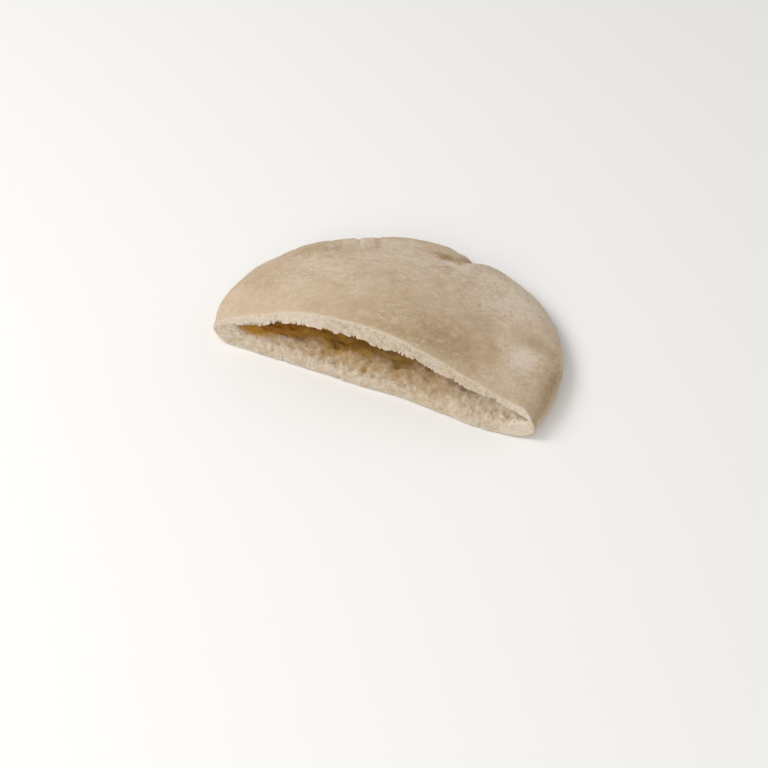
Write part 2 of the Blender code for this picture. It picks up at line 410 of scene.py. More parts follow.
# How much each pleat turns on its way in, in radians, and over what reach it sets in
PLEAT_SLANT = 0.05
PLEAT_FADE = 0.16
# Hollows and, with a depth below 0, hills of the pocket's floor: place seen from above, radius, depth
# and how dark the painted shade in each is; those of depth 0 paint shadow low on the cut face
HOLLOWS = (
    (-38.7, 3.0, 3.2, 0.9, 0.5), (-25.6, -1.2, 1.4, 1.0, 0.7), (-23.0, 5.5, 4.4, 1.3, 1.0),
    (-5.0, -3.8, 1.2, 0.9, 0.8), (9.5, 5.0, 3.4, 1.6, 0.85), (23.8, 5.3, 1.5, 1.2, 0.8),
    (37.0, 3.0, 3.0, 0.8, 0.2), (-12.0, 7.0, 3.6, 1.0, 0.7), (66.0, 2.0, 8.0, -2.4, 0.0),
    (46.0, 0.0, 3.0, 0.7, 0.15), (72.0, -2.0, 4.5, -1.3, 0.0), (14.5, 5.5, 2.0, 0.8, 0.4),
    (20.0, 8.0, 6.0, -2.0, 0.0), (33.0, 6.5, 6.0, -1.8, 0.0), (25.5, 0.8, 3.2, 0.5, 0.15),
    (31.5, 2.0, 3.5, -0.8, 0.0), (30.0, -6.5, 9.0, 0.0, 0.16), (12.0, -6.5, 10.0, 0.0, 0.1),
    (50.0, -7.5, 7.0, 0.0, 0.12), (-20.8, 2.6, 2.7, 0.8, 0.9), (-20.5, 7.5, 3.0, 1.5, 0.0),
    (9.5, 1.8, 2.1, 0.8, 0.8),
)
LEAST_HOLLOW_RADIUS = 0.4
# How far the floor rises further in, over what depth, and where along the cut that sets in
FLOOR_RISE = 3.2
FLOOR_RISE_DEPTH = 15.0
FLOOR_RISE_START, FLOOR_RISE_LENGTH = -50.0, 25.0
# Painted shade of the pocket's floor at places along the cut: how tan it is painted, how far in it turns
# brown, and how brown
FLOOR_SHADE_TONES = (
    (-72.0, 0.2, 0.5, 1.0), (-66.0, 0.3, 1.5, 1.0), (-60.0, 0.3, 2.5, 1.0), (-52.0, 0.4, 5.5, 1.0),
    (-45.0, 0.5, 7.5, 1.0), (-40.0, 0.6, 8.5, 1.0), (-35.0, 0.7, 10.0, 0.95), (-30.0, 0.85, 10.5, 0.9),
    (-25.0, 1.0, 9.5, 1.0), (-20.0, 1.0, 8.0, 1.0), (-11.0, 1.0, 8.5, 0.85), (-4.0, 1.0, 11.0, 0.65),
    (4.0, 0.95, 11.5, 0.5), (13.0, 0.95, 10.5, 0.55), (19.0, 0.85, 12.0, 0.1), (30.0, 0.8, 12.0, 0.1),
    (38.0, 0.5, 12.5, 0.1), (45.0, 0.25, 12.5, 0.1), (60.0, 0.1, 10.0, 0.3), (72.0, 0.0, 10.0, 0.3),
)
# Where the painted tan shade sets in, over what depth, and how raggedly
TAN_START, TAN_DEPTH, TAN_RAGGEDNESS = 0.7, 5.0, 3.5
BROWN_DEPTH, BROWN_RAGGEDNESS = 3.4, 0.3
# Where the roof is painted brown with shade, and how brown it is at least
ROOF_START, ROOF_BROWN = -0.5, 0.6
# The painted brown shade turns dusky to the right of this place along the cut, over this length and by
# this much
DUSKY_START, DUSKY_LENGTH, DUSKY = -26.0, 12.0, 0.55
# How the crumb of the lower wall is torn away at the mouth: down, into the pocket and down the cut face
TORN_DROP = 3.2
TORN_DEPTH_IN = 8.0
TORN_DEPTH_DOWN = 7.0
# How the mouth's edges are smoothed: how strongly, how far from the lower wall's lip and from the
# crust's edge, and in how many rounds
SMOOTHING = 0.6
LIP_SMOOTH_DEPTH, LIP_ROUNDS = 4.0, 40
EDGE_SMOOTH_DEPTH, EDGE_ROUNDS = 0.9, 4
# How far the underside stands off the table along the cut, up to this height and depth
FRONT_LIFT = 0.7
FRONT_LIFT_SIZE = 7.0
# Nicks in the edge of the underside: place along the cut, width and depth
NICKS = (
    (-43.5, 0.8, 0.7), (-15.5, 0.7, 0.9), (-14.0, 2.0, -0.4),
    (11.0, 0.9, 0.5), (53.5, 0.9, 0.8), (57.0, 2.5, -0.3),
)
NICK_HEIGHT = 3.0
# The upper wall's inner edge: places along the cut, and how far it hangs below the bare pocket's roof
LIP_LINE = (
    (-72.0, 0.0), (-66.0, 0.5), (-61.0, -0.7), (-56.0, 0.5), (-53.0, 0.2), (-50.0, -0.6), (-47.5, -0.6),
    (-44.0, -0.8), (-41.0, -1.4), (-37.0, -1.1), (-31.0, -0.5), (-24.0, 0.5), (-21.0, -0.8), (-19.2, 0.9),
    (-13.0, 0.0), (-8.0, 0.0), (-3.4, -0.6), (-1.8, 1.2), (5.0, 1.9), (8.0, 1.3), (13.0, 1.1),
    (18.0, 1.0), (20.5, -0.5), (24.0, 0.7), (29.0, 1.7), (32.5, 1.5), (36.0, 0.9), (43.0, 0.8),
    (51.0, 0.0), (55.0, -0.2), (58.0, -1.2), (62.0, -1.2), (67.0, -0.4), (72.0, 0.2), (76.0, 0.2),
)
# How far up the cut face the lip's edge is drawn down: at most, and as a share of the face's width
LIP_DRAW = 7.0
LIP_DRAW_SHARE = 0.85
# How many rounds of smoothing find what lies below its surroundings
HOLLOW_ROUNDS = 10
# How far apart the noise is read for one seed and the next
SEED_STEP = np.array([1.0, 1.7, -0.6])


def cloud(places, size, octaves=2, seed=0.0):
    """Fractal noise about 0 at each place, with lumps of the given size or sizes in mm."""
    scaled = places / np.asarray(size, float) + SEED_STEP * seed
    return np.array([noise.fractal(place, 1.0, 2.0, octaves) for place in scaled.tolist()])


def pits(places, spacing, radius, seed=0.0):
    """Scattered round pits: 1 at the middle of each, down to 0 at the given radius in mm."""
    scaled = places / spacing + SEED_STEP * seed
    nearest = np.array([noise.voronoi(place)[0][0] for place in scaled.tolist()])
    return smooth_step(1.0 - nearest * spacing / radius)


class Bread:
    """The bare bread's points and triangles, with what is known of each point."""

    def __init__(self):
        self.points, self.faces, facts = loft()
        self.region, self.distance, self.width, self.above = facts.T
        self.above = self.above > 0.5
        self.skin = self.region < 0.5
        self.face = np.abs(self.region - FACE) < 0.5
        self.pocket = self.region > 1.5
        self.lower_crumb = ~self.above & ~self.skin
        self.offset = centre_offset(self.points)
        self.from_lip = np.where(self.pocket, self.distance, self.width - self.distance)
        self.from_lip = np.where(self.skin, self.width + self.distance, self.from_lip)
        self.from_crust = np.where(self.face, self.distance, self.width + self.distance)
        self.from_crust = np.where(self.skin, 0.0, self.from_crust)
        self.pore_shade = np.zeros(len(self.points))
        self.tan = np.zeros(len(self.points))
        self.brown_shade = np.zeros(len(self.points))
        self.spot_shade = np.zeros(len(self.points))

    def flat(self):
        """The points seen from above."""
        return self.points * (1.0, 1.0, 0.0)

    def off_table(self):
        """0 at the underside, and up to 1 a few millimetres above it."""
        return smooth_step((self.points[:, 2] - 1.0) / 4.0)

    def between_ends(self, end, fade=12.0):
        """1 along the middle of the cut, and down to 0 at a distance from the middle."""
        return smooth_step((end - np.abs(self.points[:, 0])) / fade)


def soften_edges(bread):
    """Tears the lower wall's crumb down into a slope, and takes the edge off the cut."""
    height = bread.points[:, 2]
    torn = bread.lower_crumb
    away = np.where(bread.pocket, bread.from_lip / TORN_DEPTH_IN, bread.from_lip / TORN_DEPTH_DOWN)
    slope = TORN_DROP * smooth_step(1.0 - away) * torn
    height -= slope * bread.between_ends(74.0) * bread.off_table()
    lower_lip = smooth_step(1.3 - bread.from_lip / LIP_SMOOTH_DEPTH) * torn
    from_edge = bread.from_crust + bread.distance * bread.skin
    cut_edge = 0.5 * smooth_step(1.0 - from_edge / EDGE_SMOOTH_DEPTH)
    upper_lip = 0.4 * smooth_step(1.0 - bread.from_lip) * bread.above
    upper_edges = np.maximum(cut_edge, upper_lip)
    for weight, rounds in ((lower_lip, LIP_ROUNDS), (upper_edges, EDGE_ROUNDS)):
        bread.points = relax(bread.points, bread.faces, SMOOTHING * weight, rounds)


def lift_front(bread):
    """Raises the underside a little along the cut, where it stands off the table, and nicks its edge."""
    x, y, z = bread.points.T
    low = np.maximum(1.0 - z / FRONT_LIFT_SIZE, 0.0)
    near = np.where(bread.face, 1.0, smooth_step(1.0 - bread.distance / FRONT_LIFT_SIZE)) * ~bread.above
    along = np.stack([x, 0.0 * y, 0.0 * z], -1)
    uneven = 1.0 + 0.8 * cloud(along, 7.0, octaves=3, seed=15.0)
    bread.points[:, 2] += FRONT_LIFT * uneven * low * near
    for place, width, depth in NICKS:
        bread.points[:, 1] += depth * swell(x - place, width) * swell(z, NICK_HEIGHT) * near


def sag_and_swell(bread):
    """The upper wall's broad unevenness, through its whole thickness."""
    flat = bread.flat()
    lift = 0.7 * cloud(flat, 30.0, octaves=2, seed=3.0) + 0.25 * cloud(flat, 11.0, octaves=2, seed=8.0)
    bread.points[:, 2] += lift * smooth_step((bread.points[:, 2] - 9.0) / 8.0)


def sway_cut(bread):
    """The knife's slight sway across the cut face, which dies out away from it."""
    away = np.where(bread.face, 0.0, bread.distance)
    seen_from_front = bread.points * (1.0, 0.0, 1.0)
    sway = 0.5 * cloud(seen_from_front, (16.0, 1.0, 11.0), octaves=2, seed=5.0)
    bread.points[:, 1] += sway * smooth_step(1.0 - away / 6.0)


def crust_relief(bread):
    """Fine wrinkles, pleats and dimples of the outer skin."""
    places = bread.points
    turned = places @ np.array(FLOUR_AXES).T
    lobe = smooth_step((places[:, 0] + 10.0) / 40.0) * smooth_step((places[:, 1] - 8.0) / 30.0)
    creases = np.abs(cloud(turned, (7.0, 2.2, 7.0), octaves=2, seed=4.0))
    wrinkles = -0.22 * (0.25 + 0.75 * lobe) * creases
    dimples = 0.20 * cloud(places, 7.0, octaves=2, seed=1.0)
    dimples = dimples + 0.13 * cloud(places, 2.6, octaves=3, seed=2.0)
    relief = wrinkles + dimples
    bearing = np.arctan2(places[:, 1], places[:, 0])
    radius = rim_radius(bearing)
    reach = np.hypot(places[:, 0], places[:, 1]) / radius
    for degrees, start, depth in PLEATS:
        along_rim = radius * (bearing - math.radians(degrees) - PLEAT_SLANT * (1.0 - reach))
        relief -= depth * swell(along_rim, PLEAT_WIDTH) * smooth_step((reach - start) / PLEAT_FADE)
    fade = bread.skin * (0.35 + 0.65 * smooth_step(bread.distance / 2.0))
    underneath = (places[:, 2] < RIM_HEIGHT) * ~bread.above
    relief = np.where(underneath, 0.5 * relief, relief)
    return relief * fade


def crumb_relief(bread):
    """Pores, fibres and torn lumps of the cut face and of the pocket's wall."""
    places = bread.points
    warp = 0.5 * np.stack([cloud(places, 1.7, octaves=2, seed=seed) for seed in (51.0, 52.0, 53.0)], -1)
    large = pits(places + warp, spacing=2.0, radius=0.75, seed=1.0)
    large = large * smooth_step(0.55 + 1.6 * cloud(places, 7.0, octaves=1, seed=6.0))
    small = pits(places + warp, spacing=1.05, radius=0.42, seed=2.0)
    small = small * smooth_step(0.6 + 1.5 * cloud(places, 4.0, octaves=1, seed=7.0))
    grain = cloud(places, 1.4, octaves=3, seed=9.0)
    fibres = cloud(places, (0.8, 1.5, 3.4), octaves=2, seed=11.0) * bread.above
    face = 0.20 * grain + 0.16 * fibres - 0.55 * large - 0.32 * small
    lumps = cloud(places, 2.6, octaves=2, seed=12.0)
    torn = 0.17 * grain + 0.30 * lumps - 0.35 * large - 0.24 * small
    # Painted shade in the pits: how darkly the crumb is painted there.
    bread.pore_shade = np.where(bread.skin, 0.0, np.clip(0.9 * large + 0.7 * small, 0.0, 1.0))
    lip = smooth_step(1.0 - bread.from_lip / 5.0)
    lower_face = np.where(bread.above, 0.35, 1.0) * lip
    relief = np.where(bread.pocket, torn, face * (1.0 - lower_face) + torn * lower_face)
    fringe = 1.0 - 0.75 * smooth_step(1.3 - bread.from_lip / 3.0) * bread.above
    return np.where(bread.skin, 0.0, relief * fringe * smooth_step(0.15 + bread.from_crust / 0.8))


def floor_lumps(bread):
    """Hills and torn hollows of the pocket's floor, carried down the upper part of the cut face below."""
    flat = bread.flat()
    lumps = 0.9 * cloud(flat, 7.0, octaves=2, seed=21.0)
    lumps = lumps + 0.33 * cloud(flat, 2.6, octaves=2, seed=22.0)
    lumps = lumps + 0.12 * cloud(flat, 1.0, octaves=2, seed=23.0)
    inside = np.where(bread.pocket, smooth_step(bread.distance / FLOOR_RISE_DEPTH), 0.0)
    lumps += FLOOR_RISE * inside * smooth_step((flat[:, 0] - FLOOR_RISE_START) / FLOOR_RISE_LENGTH)
    ragged = 1.0 + 0.35 * cloud(flat, 2.5, octaves=2, seed=24.0)
    for x, y, radius, depth, spot_shade in HOLLOWS:
        edge = np.maximum(radius * ragged, LEAST_HOLLOW_RADIUS)
        sunken = swell(np.hypot(flat[:, 0] - x, flat[:, 1] - y), edge) * bread.lower_crumb
        lumps -= depth * sunken
        # Painted shade in each hollow, and painted shadow low on the cut face where the depth is 0.
        bread.spot_shade += spot_shade * sunken
    weight = bread.off_table() * bread.lower_crumb
    bread.points[:, 2] += lumps * weight * bread.between_ends(76.0)


def paint_pocket_shade(bread):
    """Paints shade into the pocket's wall: tan and, beyond a ragged line, brown."""
    places, tans, starts, browns = zip(*FLOOR_SHADE_TONES)
    x = bread.points[:, 0]
    ragged = cloud(bread.points, 3.0, octaves=3, seed=25.0)
    inward = np.where(bread.pocket, bread.distance, -bread.from_lip)
    tinted = bread.pocket | (bread.face & ~bread.above)
    into_tan = smooth_step((inward - TAN_START + TAN_RAGGEDNESS * ragged) / TAN_DEPTH)
    bread.tan = into_tan * np.interp(x, places, tans) * tinted
    start = np.interp(x, places, starts) * (1.0 + BROWN_RAGGEDNESS * ragged)
    start = np.where(bread.above, ROOF_START, start)
    strength = np.interp(x, places, browns)
    strength = np.where(bread.above, np.maximum(strength, ROOF_BROWN), strength)
    into_brown = smooth_step((inward - start + BROWN_DEPTH / 2.0) / BROWN_DEPTH)
    bread.brown_shade = into_brown * strength * tinted
    dusky = DUSKY * bread.brown_shade * smooth_step((x - DUSKY_START) / DUSKY_LENGTH)
    bread.spot_shade = np.clip(np.maximum(bread.spot_shade, dusky), 0.0, 1.0) * tinted


def torn_lip(bread):
    """Teeth and chunks of crumb that hang from the upper wall into the mouth of the pocket."""
    x = bread.points[:, 0]
    line = np.stack([x, 0.3 * bread.points[:, 1], np.zeros(len(x))], -1)
    line[:, 0] += 1.6 * cloud(line, 4.0, octaves=1, seed=35.0)
    gaps = smooth_step(1.0 - np.abs(cloud(line, 0.95, octaves=1, seed=31.0)) / 0.27)
    left = smooth_step((-10.0 - x) / 20.0)
    broad = 1.5 * cloud(line, 6.0, octaves=1, seed=33.0)
    narrow = 1.2 * cloud(line, 1.9, octaves=1, seed=36.0)
    deep_gaps = smooth_step(0.55 + broad + narrow + 0.4 * left)
    gaps = gaps * (0.45 + (0.75 + 0.6 * left) * deep_gaps)
    places, drops = zip(*LIP_LINE)
    hang = 0.35 + np.interp(x, places, drops) + 0.3 * cloud(line, 2.2, octaves=2, seed=32.0)
    teeth = 0.5 * cloud(line, 0.8, octaves=1, seed=34.0)
    drawn = np.minimum(LIP_DRAW, LIP_DRAW_SHARE * bread.width)

    def fading(inwards, up_the_face):
        """1 at the lip, and down to 0 into the pocket and up the cut face."""
        on_face = smooth_step(1.0 - bread.from_lip / up_the_face)
        return np.where(bread.pocket, swell(bread.from_lip, inwards), on_face)

    fringe = fading(1.5, 2.0)
    slots = fading(3.5, 0.75 * drawn)
    drop = hang * fading(2.0, drawn) + teeth * fringe - gaps * slots
    ends = bread.above * ~bread.skin * bread.between_ends(75.0, fade=5.0)
    bread.points[:, 2] -= drop * ends
    bread.points[:, 1] -= 0.3 * (teeth * fringe - gaps * slots) * ends
    softened = 0.5 * smooth_step(2.0 - bread.from_lip / 3.0) * ends
    bread.points = relax(bread.points, bread.faces, softened, 1)


def hollowness(bread):
    """How far each point lies below its surroundings, in mm, and above them where it is less than 0."""
    smooth = relax(bread.points, bread.faces, np.ones(len(bread.points)), HOLLOW_ROUNDS)
    return np.sum((smooth - bread.points) * vertex_normals(smooth, bread.faces), axis=1)


def shape_bread():
    """The bread with all its relief."""
    bread = Bread()
    soften_edges(bread)
    lift_front(bread)
    sway_cut(bread)
    sag_and_swell(bread)
    floor_lumps(bread)
    paint_pocket_shade(bread)
    torn_lip(bread)
    normals = vertex_normals(bread.points, bread.faces)
    relief = crust_relief(bread) + crumb_relief(bread)
    bread.points = bread.points + normals * relief[:, None]
    bread.hollow = hollowness(bread)
    bread.points[:, 2] = np.maximum(bread.points[:, 2], 0.0)
    return bread


# ---------------------------------------------------------------- the object
def centre_offset(points):
    """What moves the half from the round's centre to the CAD node's box, in millimetres."""
    low, high = (np.array(corner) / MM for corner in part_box(NODE))
    middle = (low + high) / 2.0 - (points.min(0) + points.max(0)) / 2.0
    return np.array([middle[0], middle[1], low[2] - points[:, 2].min()])


def add_attribute(mesh, name, values):
    mesh.attributes.new(name, "FLOAT", "POINT").data.foreach_set("value", values.astype(np.float32))


def paleness(bread):
    """Where the cut face is paler: at the left of its upper part, and at its right end."""
    x = bread.points[:, 0]
    left = smooth_step((PALE_LEFT_START - x) / PALE_LEFT_LENGTH)
    right = smooth_step((x - PALE_RIGHT_START) / PALE_RIGHT_LENGTH)
    return bread.face * (bread.above * left + right)


def add_bread():
    """Adds the bread, and gives back what moves the round's centre to it, in millimetres."""
    bread = shape_bread()
    mesh = bpy.data.meshes.new("pita_bread")
    mesh.from_pydata(((bread.points + bread.offset) * MM).tolist(), [], bread.faces.tolist())
    mesh.shade_smooth()
    add_attribute(mesh, "crumb", np.where(bread.skin, 0.0, 1.0))
    add_attribute(mesh, "pore_shade", bread.pore_shade)
    add_attribute(mesh, "hollow", bread.hollow)
    add_attribute(mesh, "tan", bread.tan)
    add_attribute(mesh, "brown_shade", bread.brown_shade)
    add_attribute(mesh, "spot_shade", bread.spot_shade)
    from_cut_edge = np.where(bread.skin, bread.distance, bread.from_crust)
    add_attribute(mesh, "rind", swell(from_cut_edge, RIND_WIDTH))
    add_attribute(mesh, "flour_and_highlight", flour_and_highlight(bread))
    add_attribute(mesh, "pale", paleness(bread))
    add_attribute(mesh, "toast_and_painted_light", toast_and_painted_light(bread))
    made = bpy.data.objects.new("pita_bread", mesh)
    bpy.context.scene.collection.objects.link(made)
    made.data.materials.append(bread_material())
    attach(made, "root")
    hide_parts(NODE)
    return bread.offset


# ---------------------------------------------------------------- looks
# How wide the crust's rind is along the edge of the cut
RIND_WIDTH = 0.9
# Where along the cut its face turns pale, and over what length
PALE_LEFT_START, PALE_LEFT_LENGTH = -15.0, 20.0
PALE_RIGHT_START, PALE_RIGHT_LENGTH = 58.0, 12.0
# Patches of the crust: place seen from above, the two radii and how brown or, below 0, pale each is.
# Most are browning; those at (79.5, 14) and (14.5, 72) paint shade on the right end and beside the
# fold at the notch, and the pale ones at (46, 64) and (-23, 41) paint light on the back slopes.
TOAST_AND_PAINTED_LIGHT_PATCHES = (
    (22.0, 12.0, 26.0, 15.0, 0.55), (8.5, 67.0, 6.0, 3.2, 1.8), (12.3, 56.5, 4.0, 2.0, 1.2),
    (14.5, 72.0, 3.0, 5.0, 0.9), (-16.0, 44.0, 16.0, 9.0, -0.4), (-62.0, 18.0, 9.0, 14.0, 0.25),
    (-40.0, 50.0, 12.0, 7.0, 0.3), (-28.0, 4.0, 9.0, 6.0, 0.2), (-5.0, 3.0, 12.0, 9.0, 0.4),
    (31.0, 8.0, 15.0, 8.0, 0.7), (48.0, 50.0, 14.0, 18.0, -0.4), (56.0, 17.0, 7.0, 8.0, -0.35),
    (79.5, 14.0, 5.5, 18.0, 1.7), (42.0, 24.0, 10.0, 10.0, 0.4), (-51.0, 46.0, 14.0, 9.0, 0.65),
    (-42.0, 12.0, 12.0, 7.0, -0.4), (-23.0, 41.0, 11.0, 6.0, -0.5), (46.0, 64.0, 9.0, 5.0, -0.5),
    (27.0, 4.0, 8.0, 4.0, 0.35), (14.0, 0.0, 16.0, 4.0, 0.45), (54.0, 3.0, 10.0, 5.0, -0.4),
    (50.0, 17.5, 5.0, 4.0, 0.5),
)
# Patches of flour on the crust, in the same way. Those at (60, 19), (64, 22.5), (64, 15) and (22, 70)
# paint highlights on the right lobe, those at (46, 64), (-23, 42) and (50, 44) paint light on the back
# slopes, and those at (-31, 61) and (-19, 65) paint pale streaks by the back pleats
FLOUR_AND_HIGHLIGHT_PATCHES = (
    (13.0, 61.5, 5.0, 2.0, 1.2), (22.0, 70.0, 4.0, 5.0, 1.0), (60.0, 19.0, 6.0, 4.0, 1.3),
    (64.0, 22.5, 6.0, 4.0, 1.5), (-5.0, 60.0, 35.0, 14.0, 1.2), (40.0, 56.0, 24.0, 16.0, 1.3),
    (-45.0, 30.0, 20.0, 10.0, 0.4), (64.0, 15.0, 8.0, 9.0, 1.1), (-38.0, 34.0, 24.0, 9.0, 0.6),
    (-31.0, 61.0, 3.0, 6.0, 1.4), (-19.0, 65.0, 3.0, 6.0, 1.0), (46.0, 64.0, 9.0, 5.0, 1.2),
    (-23.0, 42.0, 12.0, 7.0, 0.6), (50.0, 44.0, 10.0, 8.0, 0.9), (8.5, 67.0, 6.0, 3.5, -1.6),
)
# Along and across the lines in which flour and wrinkles lie, and square to both
FLOUR_AXES = ((0.924, 0.382, 0.0), (-0.286, 0.692, 0.663), (0.253, -0.613, 0.749))


def patchwork(bread, patches):
    """The patches added up at each point."""
    flat = bread.flat()
    total = np.zeros(len(flat))
    for x, y, wide, deep, strength in patches:
        total += strength * swell(np.hypot((flat[:, 0] - x) / wide, (flat[:, 1] - y) / deep), 1.0)
    return total


def toast_and_painted_light(bread):
    """How browned the crust is at each point, with the painted shade and painted light of some patches.
    """
    uneven = 0.35 * cloud(bread.flat(), 14.0, octaves=3, seed=41.0)
    return np.clip(uneven + patchwork(bread, TOAST_AND_PAINTED_LIGHT_PATCHES) + 0.2, 0.0, 1.5)


def flour_and_highlight(bread):
    """How much flour lies on the crust at each point, with the painted highlights and painted light of
    some patches.
    """
    uneven = 0.8 * cloud(bread.flat(), 18.0, octaves=2, seed=42.0)
    return uneven + patchwork(bread, FLOUR_AND_HIGHLIGHT_PATCHES) - 0.3


class Nodes:
    """Adds shader nodes to a material's tree."""

    def __init__(self, tree):
        self.tree = tree

    def add(self, kind, inputs=(), **settings):
        node = self.tree.nodes.new(kind)
        for key, value in settings.items():
            setattr(node, key, value)
        for key, value in dict(inputs).items():
            if isinstance(value, bpy.types.NodeSocket):
                self.tree.links.new(value, node.inputs[key])
            else:
                node.inputs[key].default_value = value
        return node

    def attribute(self, name):
        return self.add("ShaderNodeAttribute", attribute_name=name).outputs["Fac"]

    def noise(self, places, size, detail=2.0, roughness=0.5):
        """Noise from 0 to 1 with lumps of the given size in mm."""
        inputs = {"Vector": places, "Scale": 1.0 / size, "Detail": detail, "Roughness": roughness}
        return self.add("ShaderNodeTexNoise", inputs).outputs["Fac"]

    def turned(self, places, sizes):
        """Places measured along, across and below the slanted lines in which the flour lies, in the
        given lengths."""
        parts = {}
        for number, (axis, size) in enumerate(zip(FLOUR_AXES, sizes)):
            inputs = {0: places, 1: Vector(axis) / size}
            product = self.add("ShaderNodeVectorMath", inputs, operation="DOT_PRODUCT")
            parts[number] = product.outputs["Value"]
        return self.add("ShaderNodeCombineXYZ", parts).outputs[0]

    def math(self, operation, a, b):
        return self.add("ShaderNodeMath", {0: a, 1: b}, operation=operation).outputs[0]

    def plus(self, a, b):
        return self.math("ADD", a, b)

    def times(self, a, b):
        return self.math("MULTIPLY", a, b)

    def stretch(self, value, low, high, to_low=0.0, to_high=1.0):
        """The value moved from one range to another, and held inside it."""
        inputs = {"Value": value, "From Min": low, "From Max": high, "To Min": to_low, "To Max": to_high}
        return self.add("ShaderNodeMapRange", inputs).outputs["Result"]

    def mix(self, share, a, b, blend="MIX"):
        """The first colour at a share of 0, and the second one blended in at 1."""
        node = self.add("ShaderNodeMix", data_type="RGBA", blend_type=blend)
        for socket, value in ((node.inputs[0], share), (node.inputs[6], a), (node.inputs[7], b)):
            if isinstance(value, bpy.types.NodeSocket):
                self.tree.links.new(value, socket)
            else:
                socket.default_value = value
        return node.outputs[2]


# Colours of the crust; the flour colour also serves as painted highlight and painted light
CRUST_PALE = (0.62, 0.495, 0.36, 1.0)
CRUST_TAN = (0.49, 0.365, 0.235, 1.0)
CRUST_BROWN = (0.36, 0.235, 0.125, 1.0)
FLOUR_AND_HIGHLIGHT = (0.70, 0.595, 0.49, 1.0)
TINT_GREEN = (0.97, 1.0, 0.96, 1.0)
TINT_PINK = (1.03, 0.985, 1.0, 1.0)
RIND = (0.64, 0.55, 0.42, 1.0)
# Colours of the crumb; the tan one is a tint over the others. The tan, deep and spot colours paint shade
# in the pocket, and the pore colour paints shade in pores
CRUMB = (0.68, 0.585, 0.485, 1.0)
CRUMB_WARM = (0.57, 0.47, 0.33, 1.0)
# Paler crumb, for the pale parts of the cut face and as painted highlight on ridges.
CRUMB_PALE_AND_HIGHLIGHT = (0.77, 0.67, 0.55, 1.0)
# Painted shade of the crumb's pores and hollows.
CRUMB_PORE_SHADE = (0.36, 0.25, 0.13, 1.0)
# The next two paint the shade deeper in the pocket: tan, then deep brown.
CRUMB_TAN_SHADE = (0.76, 0.63, 0.46, 1.0)
CRUMB_DEEP_SHADE = (0.55, 0.285, 0.04, 1.0)
# Painted shade in the pocket's hollows, on the brown to the right and low on the cut face.
CRUMB_SPOT_SHADE = (0.37, 0.225, 0.06, 1.0)

BREAD_ROUGHNESS = 0.9
BREAD_SPECULAR = 0.12
BREAD_SUBSURFACE = 0.25
# How far red, green and blue light travel in the bread, for each unit of the scale, in metres
SUBSURFACE_RADIUS = (1.0, 0.55, 0.3)
SUBSURFACE_SCALE = 0.002
BUMP_HEIGHT = 0.3 * MM


def crust_colour(nodes, places, hollow):
    """Pale to browned crust, mottled, with painted shade darkening its hollows and with smeared and
    sprinkled flour, whose patches also paint highlights and light in places.
    """
    patches = nodes.math("SUBTRACT", nodes.noise(places, 7.0, detail=4.0, roughness=0.6), 0.5)
    speckle = nodes.math("SUBTRACT", nodes.noise(places, 1.5, detail=3.0, roughness=0.65), 0.5)
    mottling = nodes.plus(nodes.times(patches, 1.8), nodes.times(speckle, 1.7))
    uneven = nodes.stretch(nodes.attribute("flour_and_highlight"), -0.2, 1.0, 0.75, 1.5)
    level = nodes.plus(nodes.attribute("toast_and_painted_light"), nodes.times(mottling, uneven))
    # Painted shade: the deeper the crust lies below its surroundings, the browner it is painted.
    level = nodes.plus(level, nodes.times(hollow, 2.0))
    crust = nodes.mix(nodes.stretch(level, -0.3, 0.9), CRUST_PALE, CRUST_TAN)
    crust = nodes.mix(nodes.stretch(level, 0.9, 1.9), crust, CRUST_BROWN)
    warmth = nodes.stretch(nodes.noise(places, 3.5, detail=4.0, roughness=0.65), 0.3, 0.7)
    crust = nodes.mix(1.0, crust, nodes.mix(warmth, TINT_GREEN, TINT_PINK), "MULTIPLY")
    smear = nodes.noise(nodes.turned(places, (4.0, 1.6, 4.0)), 1.0, detail=3.0, roughness=0.6)
    grains = nodes.noise(places, 1.3, detail=2.0, roughness=0.6)
    dust = nodes.plus(nodes.times(smear, 0.5), nodes.times(grains, 0.5))
    dust = nodes.plus(dust, nodes.times(nodes.attribute("flour_and_highlight"), 0.12))
    return nodes.mix(nodes.stretch(dust, 0.5, 0.72, 0.0, 0.8), crust, FLOUR_AND_HIGHLIGHT)


